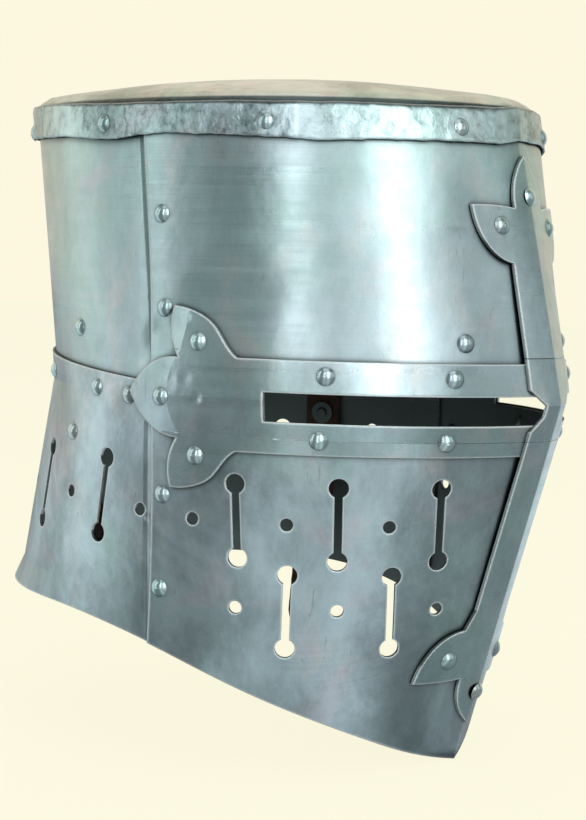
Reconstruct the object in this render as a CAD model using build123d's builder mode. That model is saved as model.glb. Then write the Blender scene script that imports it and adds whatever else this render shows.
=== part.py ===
from build123d import *

import os
from collections import namedtuple
from math import asin, atan2, cos, radians, sin, tan

# Great helm: riveted steel plates over a leather liner, with a buckled chin strap.
# The helm faces -Y, +Z is up, and the wearer's right side is at -X. All sizes in mm.

# Sheet metal
sheet = 1.6
lap_gap = 0.1
layer = sheet + lap_gap
overrun = 12.0

# Shell, measured to the outer face of the front plates, at the rim, the knee and the foot
rim_height = 318.0
rim_front = 141.2
rim_back = 143.2
rim_side_inset = 6.0
rim_widest = 0.0
rim_ridge_angle = 2.5
knee_height = 180.0
knee_front = 169.3
knee_back = 119.8
knee_half_width = 115.6
knee_widest = -5.5
knee_ridge_angle = 12.7
foot_front = 120.2
foot_back = 161.7
foot_side_inset = 1.5
foot_widest = 19.3
foot_ridge_angle = 20.6
quarter_handle_share = 0.5523

# Crown plate with its turned-down flange
dome_rise = 18.0
dome_power_share = 0.7
dome_ring_shares = (0.985, 0.95, 0.88, 0.75, 0.55, 0.32, 0.1)
flange_depth = 17.0
crown_corner = 1.6

# Side seam: how far ahead of the shell's axis the front plates end, and their lap
seam_at_rim = 1.0
seam_at_knee = 16.0
seam_at_foot = 9.0
seam_power = 1.5
seam_lap = 16.0
seam_rivet_margin = 8.2
ear_rivet_margin = 7.0

# Waist seam: top edge of the nape plate at the side and at the back, and its lap
waist_side_rise = 6.5
waist_back_rise = 17.0
waist_lap = 16.0

# Lower edge, from the chin to the nape, as shares of its depth and of its height
edge_height = 70.5
edge_shares = (
    (0.0, 0.0),
    (0.07, 0.2),
    (0.21, 0.54),
    (0.4, 0.845),
    (0.55, 0.965),
    (0.74, 1.0),
)
edge_chin_slope_share = 0.45
nape_flare = 6.0
nape_flare_height = 13.0

# Sights: a slot in each cross arm, below the knee line
slot_height = 13.6
slot_drop = 3.0
slot_back = 75.5
slot_set_back = 1.0
butt_drop = 5.5

# Cross arms with a fleur at the ear
band_half_height = 22.0
arm_gap = 18.0
fleur_root = 62.3
fleur_length = 58.1
fleur_half_height = 43.0
fleur_rise = 3.6
fleur_shares = (
    ((0.0, 0.51), (0.1, 0.64), (0.22, 0.845), (0.36, 0.95), (0.58, 1.0)),
    ((0.58, 1.0), (0.6, 0.72), (0.52, 0.44)),
    ((0.52, 0.44), (0.68, 0.41), (0.82, 0.305), (0.92, 0.165), (1.0, 0.0)),
)

# Upright bar with a leaf at each end and a neck between the sights
upright_half_width = 17.2
upright_foot_half_width = 14.2
neck_half_width = 8.3
neck_half_height = 10.0
neck_edge_share = 0.25
leaf_half_width = 35.9
top_leaf_tip_share = 0.848
top_leaf_height_share = 0.37
foot_leaf_height = 49.5
foot_leaf_margin = 19.4
leaf_shares = (
    ((0.48, 0.0), (0.81, 0.13), (0.96, 0.34), (1.0, 0.53)),
    ((1.0, 0.53), (0.62, 0.53), (0.33, 0.51)),
    ((0.33, 0.51), (0.28, 0.74), (0.0, 1.0)),
)

# Rivets
rivet_shank_radius = 2.1
rivet_head_radius = 4.45
rivet_head_height = 2.3
rivet_tail_radius = 3.1
rivet_tail_height = 1.1
rivet_tail_top_share = 0.75
fold_rivet_tail_share = 0.75
rivet_hole_clearance = 0.05
rivet_head_stand = 0.02
rivet_tail_stand = 0.2
washer_radius = 6.2
washer_thickness = 1.0

# Where rivets sit: shares along a quarter of the shell, and heights
rim_rivet_drop = 9.8
rim_rivet_front_shares = (0.213, 0.689)
rim_rivet_back_shares = (0.101, 0.61, 1.0)
seam_upper_rivet_share = 0.616
seam_band_rivet_rise = 3.8
seam_lower_rivet_shares = (0.734, 0.4806)
arm_rivet_rise = 26.8
arm_rivet_back = 42.4
band_rivet_rise = 15.0
band_rivet_shares = (0.289, 0.58)
upright_leaf_rivet_share = 0.118
brow_leaf_rivet_height_share = 0.347
brow_ridge_rivet_height_share = 0.622
chin_leaf_rivet_height_share = 0.31
chin_ridge_rivet_height_share = 0.669
waist_rivet_drop = 8.4
waist_rivet_shares = (0.022, 0.145, 0.454, 0.72, 1.0)
liner_rivet_rise = 10.5
liner_rivet_front_share = 0.249
liner_rivet_side_share = 0.238
strap_rivet_drop = 23.4
strap_rivet_share = 0.233

# Breaths: keyhole slots with a round hole at each end, and small round holes
keyhole_radius = 4.7
keyhole_slit = 3.8
breath_radius = 3.1
upper_breath_height_shares = (0.7778, 0.5822)
upper_breath_shares = ((0.743, 0.708), (0.512, 0.476), (0.266, 0.223))
lower_breath_height_shares = (0.5417, 0.3428)
lower_breath_shares = ((0.585, 0.554), (0.334, 0.291))
upper_hole_height_share = 0.6767
upper_hole_shares = (0.825, 0.611, 0.372)
lower_hole_height_share = 0.4483
lower_hole_shares = (0.691, 0.448, 0.191)
nape_breath_height_shares = (0.8139, 0.6056)
nape_breath_shares = (0.07, 0.355, 0.68, 1.0)
nape_hole_height_share = 0.7056
nape_hole_shares = (0.198, 0.52, 0.84)
ear_hole_height_share = 0.6856
ear_hole_share = 0.956

# Leather liner: a headband, tongues that arch inward, and the lace that draws them together
leather = 2.0
leather_gap = 0.2
band_rise = 18.0
band_depth = 19.0
band_front_inset = 2.0
band_side_inset = 5.4
tongue_count = 8
tongue_half_width = 26.0
tongue_tip_half_width = 8.0
tongue_bottom_rise = 3.0
tongue_spring_rise = 5.0
tongue_arch_share = 0.6458
tongue_arch_angles = (0.0, 20.0, 38.0, 54.0, 66.0, 75.0)
tongue_tip_share = 0.23
lace_radius = 1.5
lace_hole_radius = 2.4
lace_ring_share = 0.29

# Chin straps, each held by one rivet, and their buckle
strap_half_width = 10.0
strap_tab_rise = 11.0
strap_tab_drop = 13.0
strap_lean = 14.0
strap_flex_gap = 0.3
strap_wall_gap = 0.25
long_strap_length = 116.0
long_strap_point = 14.0
point_width_share = 0.6
point_height_share = 0.35
strap_hole_radius = 2.0
strap_hole_pitch = 13.0
strap_hole_count = 5
strap_hole_margin = 22.0
short_strap_length = 44.0
strap_fold_length = 26.0
strap_fold_gap = 0.2
fold_rivet_radius = 1.6
fold_rivet_head = 3.2
buckle_wire = 1.5
buckle_half_width = 14.0
buckle_length = 22.0
buckle_corner = 4.0
buckle_play = 0.1
prong_wire = 1.2
prong_play = 0.1
prong_slot_half_width = 2.2
prong_slot_rise = 9.0
prong_overhang = 2.6
prong_eye_share = 1.6

# A level section of the shell. Its front curve leaves the ridge along a handle that
# reaches sideways by bow and backward by keel.
Section = namedtuple("Section", "front back half_width widest bow keel")


def section_of(front, back, half_width, widest, ridge_angle):
    """A section from its sizes and from the angle of its sides at the ridge."""
    handle = quarter_handle_share * half_width
    bow = handle * cos(radians(ridge_angle))
    keel = handle * sin(radians(ridge_angle))
    return Section(front, back, half_width, widest, bow, keel)


rim_half_width = knee_half_width - rim_side_inset
foot_half_width = knee_half_width - foot_side_inset
rim = section_of(rim_front, rim_back, rim_half_width, rim_widest, rim_ridge_angle)
knee = section_of(knee_front, knee_back, knee_half_width, knee_widest, knee_ridge_angle)
foot = section_of(foot_front, foot_back, foot_half_width, foot_widest, foot_ridge_angle)

wall_top = rim_height - sheet - crown_corner
cut_half_width = knee_half_width + overrun
slot_middle = knee_height - slot_drop
butt_height = knee_height - butt_drop
waist_side_height = knee_height + waist_side_rise
waist_back_height = knee_height + waist_back_rise
band_bottom = knee_height + band_rise
band_top = band_bottom + band_depth
strap_rivet_height = knee_height - strap_rivet_drop


def blend(start, end, share):
    """The value that lies a share of the way from start to end."""
    return start + (end - start) * share


def blend_sections(start, end, share):
    """The section that lies a share of the way from one section to another."""
    return Section(*(blend(a, b, share) for a, b in zip(start, end)))


def ridge_angle(section):
    """The angle, in radians, at which a section's sides fall back from its ridge."""
    return atan2(section.keel, section.bow)


def grown(section, outset, back_outset=None):
    """A section moved outward by an outset along its normals."""
    if back_outset is None:
        back_outset = outset
    lean = ridge_angle(section)
    return Section(
        section.front + outset / cos(lean),
        section.back + back_outset,
        section.half_width + outset,
        section.widest,
        section.bow + quarter_handle_share * outset * cos(lean),
        section.keel + quarter_handle_share * outset * sin(lean),
    )


def front_face(height):
    """Outer face of the front plates."""
    if height >= knee_height:
        return blend_sections(knee, rim, (height - knee_height) / (rim_height - knee_height))
    return blend_sections(foot, knee, height / knee_height)


def waist_height(depth):
    """Height of the nape plate's top edge at a depth from the shell's axis."""
    return blend(waist_side_height, waist_back_height, depth / knee_back)


def skull_back_face(height):
    """Outer face of the skull's back plate, which dips under the nape plate at the waist."""
    share = max(0.0, (height - waist_back_height) / (rim_height - waist_back_height))
    return grown(front_face(height), -layer * blend(2.0, 1.0, share))


def nape_face(height):
    """Outer face of the nape plate, which flares outward over its lowest stretch."""
    section = grown(front_face(height), -layer)
    flare = max(0.0, edge_height + nape_flare_height - height) * nape_flare / nape_flare_height
    return section._replace(back=section.back + flare)


def arm_face(height):
    """Outer face of the cross arms, which lie on the front plates."""
    return grown(front_face(height), layer)


def upright_face(height):
    """Outer face of the upright, which rises over the arms' ends and sinks to its leaves."""
    above = (height - arm_cover_top) / (upright_top - arm_cover_top)
    below = (arm_cover_bottom - height) / (arm_cover_bottom - foot_leaf_margin)
    return grown(front_face(height), layer * blend(2.0, 1.0, max(0.0, above, below)))


def crown_face(height):
    """Outer face of the crown's flange, over the walls."""
    return grown(front_face(height), layer, 0.0)


def band_face(height):
    """Outer face of the leather headband, clear of the plates' laps and rivet tails."""
    section = grown(front_face(height), -band_side_inset)
    return section._replace(front=section.front + band_side_inset - band_front_inset)


band_middle = slot_middle + lap_gap
arm_cover_top = band_middle + band_half_height + layer
arm_cover_bottom = band_middle - band_half_height - layer
upright_top = blend(knee_height, rim_height, top_leaf_tip_share)
top_leaf_height = (rim_height - knee_height) * top_leaf_height_share

# The shell's axis is moved so that the whole helm is centred over the origin
nape_reach = nape_face(edge_height).back
ridge_reach = upright_face(knee_height).front
axis_y = (ridge_reach - nape_reach) / 2


def quarter_points(section, quarter):
    """Control points of one quarter of a section, on the wearer's right."""
    front, back, half_width, widest, bow, keel = section
    if quarter == "front":
        points = (
            (0, -front),
            (-bow, -front + keel),
            (-half_width, widest - quarter_handle_share * (widest + front)),
            (-half_width, widest),
        )
    else:
        points = (
            (-half_width, widest),
            (-half_width, widest + quarter_handle_share * (back - widest)),
            (-quarter_handle_share * half_width, back),
            (0, back),
        )
    return [(x, y + axis_y) for x, y in points]


def level(height, section):
    """The closed outline of a section at a height, its quarters kept as separate curves."""
    right = [quarter_points(section, "front"), quarter_points(section, "back")]
    left = [[(-x, y) for x, y in reversed(points)] for points in reversed(right)]
    curves = [[Vector(x, y, height) for x, y in points] for points in right + left]
    return Face(Wire([Edge.make_bezier(*points) for points in curves]))


def wall(face, heights, thickness=sheet):
    """A hollow wall with a given outer face, through a list of heights."""
    with BuildPart() as shell:
        loft(sections=[level(height, face(height)) for height in heights], ruled=True)
        loft(
            sections=[level(height, grown(face(height), -thickness)) for height in heights],
            ruled=True,
            mode=Mode.SUBTRACT,
        )
    return shell.part


def curve_point(section, quarter, share):
    """The point at a share of a quarter of a section."""
    points = quarter_points(section, quarter)
    rest = 1 - share
    weights = (rest**3, 3 * rest**2 * share, 3 * rest * share**2, share**3)
    x = sum(weight * point[0] for weight, point in zip(weights, points))
    y = sum(weight * point[1] for weight, point in zip(weights, points))
    return x, y


def share_where(test):
    """The share at which a rising test turns from negative to positive."""
    low, high = 0.0, 1.0
    for _ in range(40):
        middle = (low + high) / 2
        if test(middle) < 0:
            low = middle
        else:
            high = middle
    return low


def share_at_depth(section, depth):
    """The share of the front quarter at a depth from the shell's axis."""
    return share_where(lambda share: curve_point(section, "front", share)[1] - axis_y - depth)


def seat(face, quarter, share, height):
    """A plane on a face, on the wearer's right, with its normal pointing outward."""
    step_share = 0.001
    step = sheet if height >= knee_height else -sheet
    here = Vector(*curve_point(face(height), quarter, share), height)
    start = Vector(*curve_point(face(height), quarter, share - step_share), height)
    end = Vector(*curve_point(face(height), quarter, share + step_share), height)
    beyond = Vector(*curve_point(face(height + step), quarter, share), height + step)
    along = (end - start).normalized()
    up = (beyond - here) * (1 if step > 0 else -1)
    if quarter == "front" and share == 0.0:
        along = Vector(-1, 0, 0)
    if quarter == "back" and share == 1.0:
        along = Vector(1, 0, 0)
    return Plane(origin=here, x_dir=along, z_dir=up.cross(along))


def mirrored(plane):
    """The same seat on the wearer's left."""
    return Plane(
        origin=(-plane.origin.X, plane.origin.Y, plane.origin.Z),
        x_dir=(-plane.x_dir.X, plane.x_dir.Y, plane.x_dir.Z),
        z_dir=(-plane.z_dir.X, plane.z_dir.Y, plane.z_dir.Z),
    )


def on_both_sides(planes):
    """The seats on the right, followed by the same seats on the left."""
    return list(planes) + [mirrored(plane) for plane in planes]


RivetSeat = namedtuple("RivetSeat", "plane grip")


def rivet_seat(face, inner_face, quarter, share, height):
    """Where a rivet's head sits, and how far below it its tail is peened."""
    plane = seat(face, quarter, share, height)
    inside = Vector(*curve_point(inner_face(height), quarter, share), height)
    grip = (plane.origin - inside).dot(plane.z_dir) + rivet_tail_stand
    if quarter == "front" and share == 0.0:
        grip += rivet_tail_radius * sin(ridge_angle(face(height)))
    return RivetSeat(plane, grip)


def both_rivet_seats(seats):
    """Rivet seats on the right, and the same on the left for those off the middle."""
    left = [RivetSeat(mirrored(item.plane), item.grip) for item in seats]
    return list(seats) + [item for item in left if abs(item.plane.origin.X) > sheet]


def inner_of(face, thickness=sheet):
    """The inner face of a wall whose outer face is given."""
    return lambda height: grown(face(height), -thickness)


def rivet(grip, shank=rivet_shank_radius, head=rivet_head_radius, tail=rivet_tail_radius):
    """One rivet along -Z, its domed head on the plane and its tail peened below."""
    head_height = rivet_head_height * head / rivet_head_radius
    sphere_radius = (head**2 + head_height**2) / (2 * head_height)
    turn = asin(head / sphere_radius) / 2
    drop = sphere_radius * (1 - cos(turn))
    top = rivet_head_stand + head_height
    with BuildPart() as body:
        with BuildSketch(Plane.XZ):
            with BuildLine():
                ThreePointArc(
                    (0, top), (sphere_radius * sin(turn), top - drop), (head, rivet_head_stand)
                )
                Polyline(
                    (head, rivet_head_stand),
                    (shank, rivet_head_stand),
                    (shank, -grip),
                    (tail, -grip),
                    (tail * rivet_tail_top_share, -grip - rivet_tail_height),
                    (0, -grip - rivet_tail_height),
                    (0, top),
                )
            make_face()
        revolve(axis=Axis.Z)
    return body.part


def rivet_group(seats):
    """A group of separate rivets, one on each seat."""
    with BuildPart() as group:
        for item in seats:
            with Locations(item.plane):
                add(rivet(item.grip))
    return group.part


def rivet_holes(seats):
    """The holes that a group of rivets passes through."""
    with BuildPart() as holes:
        for item in seats:
            with Locations(item.plane):
                Cylinder(rivet_shank_radius + rivet_hole_clearance, 2 * overrun)
    return holes.part


def seam_curve_points(shift):
    """The side seam in the side view, moved forward by a shift."""
    points = (
        (-seam_at_rim, rim_height),
        (-seam_at_knee, knee_height),
        (-seam_at_foot, 0),
    )
    return [(y - shift + axis_y, z) for y, z in points]


def seam_depth(height):
    """Depth of the side seam from the shell's axis at a height."""
    above = max(0.0, (height - knee_height) / (rim_height - knee_height))
    below = max(0.0, (knee_height - height) / knee_height)
    return -blend(
        blend(seam_at_knee, seam_at_rim, above**seam_power), seam_at_foot, below**seam_power
    )


def behind_seam(shift):
    """Everything behind the side seam, moved forward by a shift."""
    curve = seam_curve_points(shift)
    far = 2 * nape_reach
    with BuildPart() as block:
        with BuildSketch(Plane.YZ):
            with BuildLine():
                Spline(*curve)
                Polyline(
                    curve[-1],
                    (curve[-1][0], -2 * overrun),
                    (far, -2 * overrun),
                    (far, rim_height + overrun),
                    (curve[0][0], rim_height + overrun),
                    curve[0],
                )
            make_face()
        extrude(amount=cut_half_width, both=True)
    return block.part


def slab_below(front_height, back_height, back_depth):
    """Everything below a plane that slopes from the axis to a depth behind it."""
    slope = (back_height - front_height) / back_depth
    front = -ridge_reach - overrun
    back = nape_reach + overrun
    with BuildPart() as block:
        with BuildSketch(Plane.YZ):
            with BuildLine():
                Polyline(
                    (front + axis_y, front_height + slope * front),
                    (back + axis_y, front_height + slope * back),
                    (back + axis_y, -overrun),
                    (front + axis_y, -overrun),
                    close=True,
                )
            make_face()
        extrude(amount=cut_half_width, both=True)
    return block.part


# Cutting bodies shared by the plates
front = -foot_front
depth = foot_front + nape_reach
edge_points = [(front + axis_y + a * depth, b * edge_height) for a, b in edge_shares]
with BuildPart() as below_edge:
    with BuildSketch(Plane.YZ):
        with BuildLine():
            Spline(*edge_points, tangents=((1, edge_chin_slope_share), (1, 0)))
            Polyline(
                edge_points[-1],
                (front + axis_y + depth + overrun, edge_height),
                (front + axis_y + depth + overrun, -2 * overrun),
                (edge_points[0][0] - 2 * overrun, -2 * overrun),
                (edge_points[0][0] - 2 * overrun, -overrun),
                edge_points[0],
            )
        make_face()
    extrude(amount=cut_half_width, both=True)

behind_front_plates = behind_seam(0)
ahead_of_back_plates = behind_seam(seam_lap)
below_butt = slab_below(butt_height, butt_height, nape_reach)
below_waist = slab_below(waist_side_height, waist_back_height, knee_back)
below_waist_lap = slab_below(
    waist_side_height - waist_lap, waist_back_height - waist_lap, knee_back
)

with BuildPart() as slot_clearance:
    with BuildSketch(Plane.YZ):
        with Locations((axis_y - slot_back + slot_set_back, slot_middle)):
            Rectangle(
                ridge_reach, slot_height + 2 * slot_set_back, align=(Align.MAX, Align.CENTER)
            )
    extrude(amount=cut_half_width, both=True)

with BuildPart() as slot_opening:
    with BuildSketch(Plane.YZ):
        with Locations((axis_y - slot_back, slot_middle)):
            Rectangle(ridge_reach, slot_height, align=(Align.MAX, Align.CENTER))
    extrude(amount=cut_half_width, both=True)

# Rivet seats
seam_upper = [
    blend(knee_height, rim_height, seam_upper_rivet_share),
    band_top + seam_band_rivet_rise,
]
seam_lower = [knee_height * share for share in seam_lower_rivet_shares]


def seam_rivet_seat(height, inner_face):
    """A rivet through the front plate and the back plate at the side seam."""
    share = share_at_depth(front_face(height), seam_depth(height) - seam_rivet_margin)
    return rivet_seat(front_face, inner_face, "front", share, height)


seam_seats = both_rivet_seats(
    [seam_rivet_seat(height, inner_of(skull_back_face)) for height in seam_upper]
    + [seam_rivet_seat(height, inner_of(nape_face)) for height in seam_lower]
)

rim_rivet_height = rim_height - rim_rivet_drop
crown_seats = both_rivet_seats(
    [
        rivet_seat(crown_face, inner_of(front_face), "front", share, rim_rivet_height)
        for share in rim_rivet_front_shares
    ]
    + [
        rivet_seat(crown_face, inner_of(skull_back_face), "back", share, rim_rivet_height)
        for share in rim_rivet_back_shares
    ]
)

fleur_middle = band_middle + fleur_rise / 2


def arm_rivet_seat(depth, height, inner_face):
    """A rivet through the fleur of a cross arm."""
    share = share_at_depth(arm_face(height), -depth)
    return rivet_seat(arm_face, inner_face, "front", share, height)


ear_rivet_depth = seam_at_knee + ear_rivet_margin
arm_seats = both_rivet_seats(
    [
        arm_rivet_seat(ear_rivet_depth, fleur_middle, inner_of(skull_back_face)),
        arm_rivet_seat(arm_rivet_back, fleur_middle + arm_rivet_rise, inner_of(front_face)),
        arm_rivet_seat(arm_rivet_back, fleur_middle - arm_rivet_rise, inner_of(front_face)),
    ]
    + [
        rivet_seat(arm_face, inner_of(front_face), "front", share, band_middle + rise)
        for share in band_rivet_shares
        for rise in (band_rivet_rise, -band_rivet_rise)
    ]
)

brow_root = upright_top - top_leaf_height
chin_root = foot_leaf_margin + foot_leaf_height
upright_seats = both_rivet_seats(
    [
        rivet_seat(upright_face, inner_of(front_face), "front", share, height)
        for share, height in (
            (0.0, brow_root + top_leaf_height * brow_ridge_rivet_height_share),
            (upright_leaf_rivet_share, brow_root + top_leaf_height * brow_leaf_rivet_height_share),
            (0.0, chin_root - foot_leaf_height * chin_ridge_rivet_height_share),
            (upright_leaf_rivet_share, chin_root - foot_leaf_height * chin_leaf_rivet_height_share),
        )
    ]
)

waist_seats = []
for share in waist_rivet_shares:
    spot = curve_point(nape_face(waist_side_height), "back", share)
    height = waist_height(spot[1] - axis_y) - waist_rivet_drop
    waist_seats.append(rivet_seat(nape_face, inner_of(skull_back_face), "back", share, height))
waist_seats = both_rivet_seats(waist_seats)

one_leather = leather + leather_gap
band_washer_face = inner_of(band_face, one_leather + washer_thickness)
tongue_washer_face = inner_of(band_face, 2 * one_leather + washer_thickness)


def liner_seat(face, inner_face, quarter, share):
    """A rivet that holds the headband, and a tongue where there is one."""
    return rivet_seat(face, inner_face, quarter, share, band_bottom + liner_rivet_rise)


liner_seats = both_rivet_seats(
    [
        liner_seat(front_face, tongue_washer_face, "front", liner_rivet_front_share),
        liner_seat(skull_back_face, tongue_washer_face, "back", liner_rivet_side_share),
        liner_seat(skull_back_face, band_washer_face, "back", 1.0),
    ]
)

# Crown plate
crown_base = grown(crown_face(rim_height), -crown_corner)
dome_rings = [
    (dome_rise * (1 - share**2) ** dome_power_share, share) for share in dome_ring_shares
]
flange_bottom = rim_height - flange_depth


def ring(section, share):
    """A section drawn in toward the shell's axis by a share."""
    return Section(*(size * share for size in section))


def crown_levels(thickness, bottom):
    """Levels of the crown's outer face, or of its inner face at a thickness below it."""
    levels = [
        level(bottom, grown(crown_face(bottom), -thickness)),
        level(
            rim_height - crown_corner,
            grown(crown_face(rim_height - crown_corner), -thickness),
        ),
    ]
    base = grown(crown_base, -thickness)
    levels.append(level(rim_height - thickness, base))
    for rise, share in dome_rings:
        levels.append(level(rim_height - thickness + rise, ring(base, share)))
    return levels


with BuildPart() as crown_plate:
    loft(sections=crown_levels(0, flange_bottom), ruled=True)
    loft(
        sections=crown_levels(sheet, flange_bottom - overrun), ruled=True, mode=Mode.SUBTRACT
    )
    add(rivet_holes(crown_seats), mode=Mode.SUBTRACT)
crown_plate.part.label = "crown_plate"

with BuildPart() as crown_rivets:
    add(rivet_group(crown_seats))
crown_rivets.part.label = "crown_rivets"

# Skull and face: the upper and the lower front plate, which butt behind the cross arms
front_wall = wall(front_face, (-overrun, knee_height, wall_top))

with BuildPart() as skull_front_plate:
    add(front_wall)
    add(behind_front_plates, mode=Mode.SUBTRACT)
    add(below_butt, mode=Mode.SUBTRACT)
    add(slot_clearance.part, mode=Mode.SUBTRACT)
    for seats in (seam_seats, crown_seats, arm_seats, upright_seats, liner_seats):
        add(rivet_holes(seats), mode=Mode.SUBTRACT)
skull_front_plate.part.label = "skull_front_plate"


def keyhole_plane(face, quarter, top_share, foot_share, height_shares):
    """A plane on a face whose x axis runs along a keyhole slot, and the slot's length."""
    top, bottom = (knee_height * share for share in height_shares)
    upper = Vector(*curve_point(face(top), quarter, top_share), top)
    lower = Vector(*curve_point(face(bottom), quarter, foot_share), bottom)
    middle = seat(face, quarter, (top_share + foot_share) / 2, (top + bottom) / 2)
    along = upper - lower
    return Plane(origin=middle.origin, x_dir=along, z_dir=middle.z_dir), along.length


def keyhole(plane, length):
    """The body that cuts one keyhole slot."""
    with BuildPart() as tool:
        with BuildSketch(plane):
            Rectangle(length, keyhole_slit)
            with Locations((-length / 2, 0), (length / 2, 0)):
                Circle(keyhole_radius)
        extrude(amount=overrun, both=True)
    return tool.part


def breath_cuts(keyholes, holes):
    """The bodies that cut a set of keyhole slots and round holes."""
    with BuildPart() as cuts:
        for plane, length in keyholes:
            add(keyhole(plane, length))
        with Locations(*holes):
            Cylinder(breath_radius, 2 * overrun)
    return cuts.part


face_keyholes = [
    keyhole_plane(front_face, "front", top_share, foot_share, span)
    for shares, span in (
        (upper_breath_shares, upper_breath_height_shares),
        (lower_breath_shares, lower_breath_height_shares),
    )
    for top_share, foot_share in shares
]
face_keyholes += [(mirrored(plane), length) for plane, length in face_keyholes]
face_holes = on_both_sides(
    [
        seat(front_face, "front", share, height)
        for shares, height in (
            (upper_hole_shares, knee_height * upper_hole_height_share),
            (lower_hole_shares, knee_height * lower_hole_height_share),
        )
        for share in shares
    ]
)

with BuildPart() as face_plate:
    add(front_wall)
    add(behind_front_plates, mode=Mode.SUBTRACT)
    with BuildSketch(Plane.XY.offset(butt_height - lap_gap)):
        Rectangle(3 * rim_back, 3 * rim_back)
    extrude(amount=rim_height, mode=Mode.SUBTRACT)
    add(slot_clearance.part, mode=Mode.SUBTRACT)
    add(below_edge.part, mode=Mode.SUBTRACT)
    add(breath_cuts(face_keyholes, face_holes), mode=Mode.SUBTRACT)
    for seats in (seam_seats, arm_seats, upright_seats):
        add(rivet_holes(seats), mode=Mode.SUBTRACT)
face_plate.part.label = "face_plate"

# Back plates, lapped under the front plates at the side seams
skull_back_bottom = waist_side_height - waist_lap - 2 * overrun
with BuildPart() as skull_back_plate:
    add(wall(skull_back_face, (skull_back_bottom, knee_height, waist_back_height, wall_top)))
    add(ahead_of_back_plates, mode=Mode.INTERSECT)
    add(below_waist_lap, mode=Mode.SUBTRACT)
    for seats in (seam_seats, crown_seats, arm_seats, waist_seats, liner_seats):
        add(rivet_holes(seats), mode=Mode.SUBTRACT)
skull_back_plate.part.label = "skull_back_plate"

nape_keyholes = [
    keyhole_plane(nape_face, "back", share, share, nape_breath_height_shares)
    for share in nape_breath_shares
]
nape_keyholes += [
    (mirrored(plane), length) for plane, length in nape_keyholes if plane.origin.X < -sheet
]
nape_holes = on_both_sides(
    [
        seat(nape_face, "back", share, knee_height * nape_hole_height_share)
        for share in nape_hole_shares
    ]
    + [seat(nape_face, "front", ear_hole_share, knee_height * ear_hole_height_share)]
)

strap_seat = rivet_seat(
    nape_face, inner_of(nape_face), "back", strap_rivet_share, strap_rivet_height
)

nape_levels = (0, edge_height + nape_flare_height, knee_height, rim_height)
with BuildPart() as nape_plate:
    add(wall(nape_face, nape_levels))
    add(ahead_of_back_plates, mode=Mode.INTERSECT)
    add(below_waist, mode=Mode.INTERSECT)
    add(below_edge.part, mode=Mode.SUBTRACT)
    add(breath_cuts(nape_keyholes, nape_holes), mode=Mode.SUBTRACT)
    for seats in (seam_seats, arm_seats, waist_seats, both_rivet_seats([strap_seat])):
        add(rivet_holes(seats), mode=Mode.SUBTRACT)
nape_plate.part.label = "nape_plate"

# Side and waist rivets
with BuildPart() as side_seam_rivets:
    add(rivet_group(seam_seats))
side_seam_rivets.part.label = "side_seam_rivets"

with BuildPart() as waist_rivets:
    add(rivet_group(waist_seats))
waist_rivets.part.label = "waist_rivets"

# Cross arms, each with a sight slot that runs forward under the upright


def fleur_point(back_share, rise_share):
    """A point of the fleur's outline in the side view."""
    tilt = fleur_rise * back_share
    return (
        axis_y - fleur_root + fleur_length * back_share,
        band_middle + tilt + fleur_half_height * rise_share,
    )


def mirrored_shares(curve):
    """The same curve below the fleur's middle line, run backward."""
    return [(back_share, -rise_share) for back_share, rise_share in reversed(curve)]


arm_front = axis_y - ridge_reach - overrun
fleur_curves = list(fleur_shares) + [mirrored_shares(curve) for curve in reversed(fleur_shares)]
with BuildPart() as cross_arm_right:
    add(wall(arm_face, (band_middle - 2 * fleur_half_height, knee_height, rim_height)))
    with BuildSketch(Plane.YZ):
        with BuildLine():
            for curve in fleur_curves:
                Spline(*[fleur_point(*point) for point in curve])
            Polyline(
                fleur_point(*fleur_curves[-1][-1]),
                (arm_front, fleur_point(*fleur_curves[-1][-1])[1]),
                (arm_front, fleur_point(*fleur_curves[0][0])[1]),
                fleur_point(*fleur_curves[0][0]),
            )
        make_face()
    extrude(amount=-cut_half_width, mode=Mode.INTERSECT)
    with BuildSketch(Plane.XZ):
        Rectangle(arm_gap, 3 * rim_height)
    extrude(amount=2 * ridge_reach, both=True, mode=Mode.SUBTRACT)
    add(slot_opening.part, mode=Mode.SUBTRACT)
    add(rivet_holes(arm_seats), mode=Mode.SUBTRACT)
cross_arm_right.part.label = "cross_arm_right"

with BuildPart() as cross_arm_left:
    mirror(cross_arm_right.part, about=Plane.YZ)
cross_arm_left.part.label = "cross_arm_left"

with BuildPart() as cross_arm_rivets:
    add(rivet_group(arm_seats))
cross_arm_rivets.part.label = "cross_arm_rivets"

# Upright, with a leaf at the brow and another at the chin
neck_edge = neck_half_height * neck_edge_share


def brow_leaf_point(out_share, rise_share):
    """A point of the brow leaf's outline in the front view."""
    return leaf_half_width * out_share, brow_root + top_leaf_height * rise_share


def chin_leaf_point(out_share, rise_share):
    """A point of the chin leaf's outline in the front view."""
    return leaf_half_width * out_share, chin_root - foot_leaf_height * rise_share


brow_curves = [[brow_leaf_point(*point) for point in curve] for curve in leaf_shares]
chin_curves = [[chin_leaf_point(*point) for point in curve] for curve in leaf_shares]
bar_points = [
    chin_curves[0][0],
    (upright_foot_half_width, chin_root + neck_half_height),
    (upright_foot_half_width, slot_middle - neck_half_height),
    (neck_half_width, slot_middle - neck_edge),
    (neck_half_width, slot_middle + neck_edge),
    (upright_half_width, slot_middle + neck_half_height),
    (upright_half_width, brow_root - neck_half_height),
    brow_curves[0][0],
]
upright_levels = (
    foot_leaf_margin - overrun,
    foot_leaf_margin,
    arm_cover_bottom,
    knee_height,
    arm_cover_top,
    upright_top,
    upright_top + overrun,
)

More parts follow.
